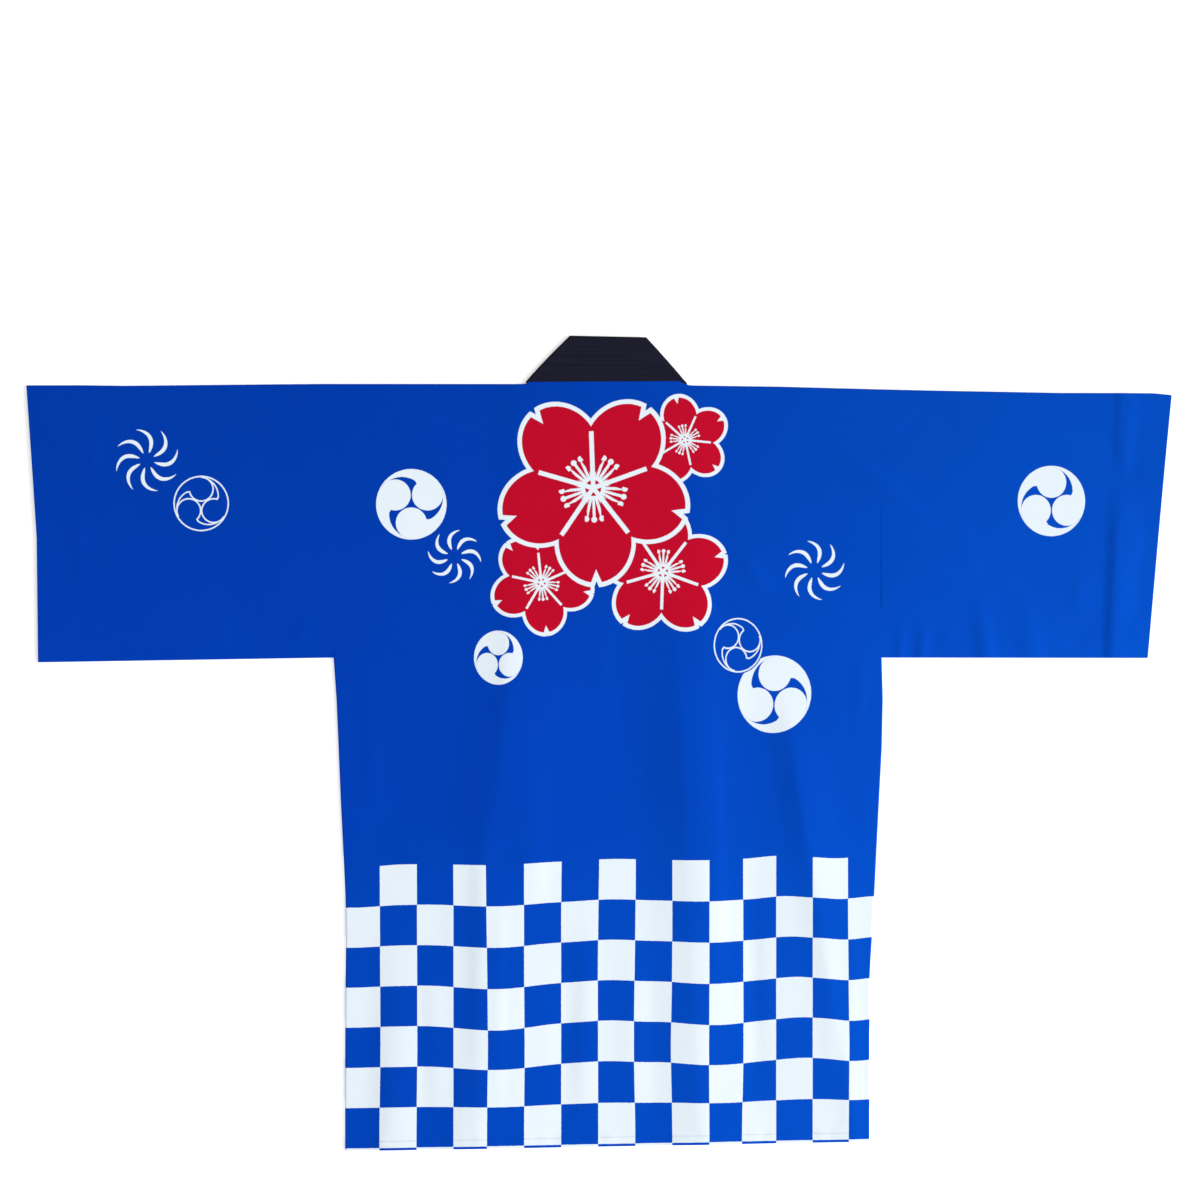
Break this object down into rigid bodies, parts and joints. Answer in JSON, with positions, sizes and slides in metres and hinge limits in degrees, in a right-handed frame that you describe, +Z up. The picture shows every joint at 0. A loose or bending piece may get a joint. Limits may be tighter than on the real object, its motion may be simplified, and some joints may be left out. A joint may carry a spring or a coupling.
{
  "type": "happi coat",
  "caption": "Short straight-sleeved festival coat of printed cotton with a black collar band, laid flat on its front with its back up.",
  "frame": {"origin": "middle of the laid coat's outline, on the surface that it lies on", "axes": "+Z up, out of the coat's back; +X from the wearer's left cuff to the right cuff; +Y from the hem to the collar"},
  "size_m": [1.282, 0.9134, 0.0069],
  "materials": {
    "blue_cotton": "plain woven cotton, dyed blue with white check and motifs",
    "black_cotton": "plain woven black cotton, doubled"
  },
  "bodies": {
    "root": {"back": "blue_cotton", "front_left": "blue_cotton", "front_right": "blue_cotton", "sleeve_left": "blue_cotton", "sleeve_right": "blue_cotton", "collar": "black_cotton"}
  },
  "joints": []
}
